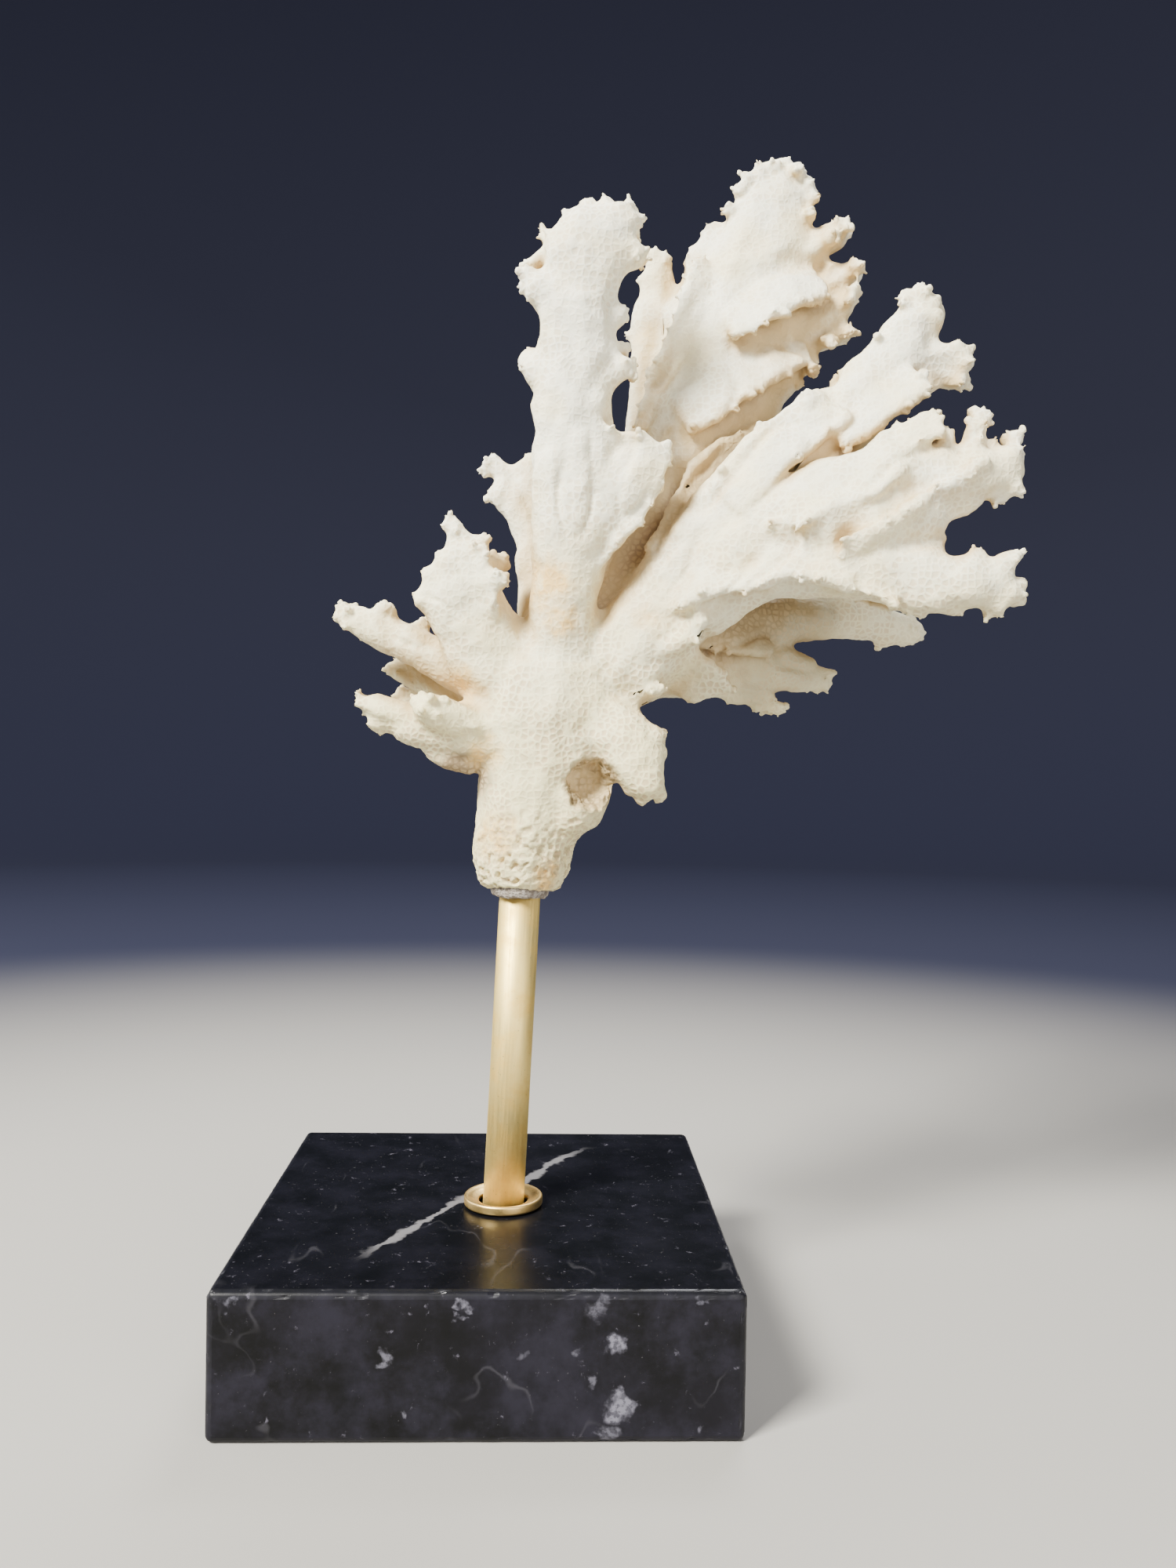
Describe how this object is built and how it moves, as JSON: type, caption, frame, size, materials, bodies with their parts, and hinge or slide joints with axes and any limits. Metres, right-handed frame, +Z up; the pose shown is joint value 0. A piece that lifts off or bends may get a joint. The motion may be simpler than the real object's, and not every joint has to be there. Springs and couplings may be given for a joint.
{
  "type": "branching coral on a marble stand",
  "caption": "White branching coral with flattened, knobbly lobes, held on a slim brass stem over a square black marble block.",
  "frame": {"origin": "centre of the marble block's underside, the face that the object stands on", "axes": "+Z up, from the block to the coral's tips; -Y is the front of the block; +X is the side that the coral's wide fan reaches over"},
  "size_m": [0.1615, 0.1, 0.27],
  "materials": {
    "marble": "polished, near black with grey-white veins",
    "brass": "satin, brushed along its length",
    "bronze": "turned, darker and duller in its dished top",
    "glue": "matte, crumbly grey-brown filler",
    "coral": "matte bleached skeleton with small open cells"
  },
  "bodies": {
    "root": {"marble_block": "marble", "brass_stem": "brass", "brass_collar": "bronze", "glue_bead": "glue", "coral_trunk": "coral", "coral_lower_left_fork": "coral", "coral_upper_left_fork": "coral", "coral_front_lobe": "coral", "coral_right_arm": "coral", "coral_centre_lobe": "coral", "coral_rear_fin": "coral", "coral_rear_left_blade": "coral", "coral_right_fan": "coral", "coral_lower_fan": "coral", "coral_side_stub": "coral"}
  },
  "joints": []
}
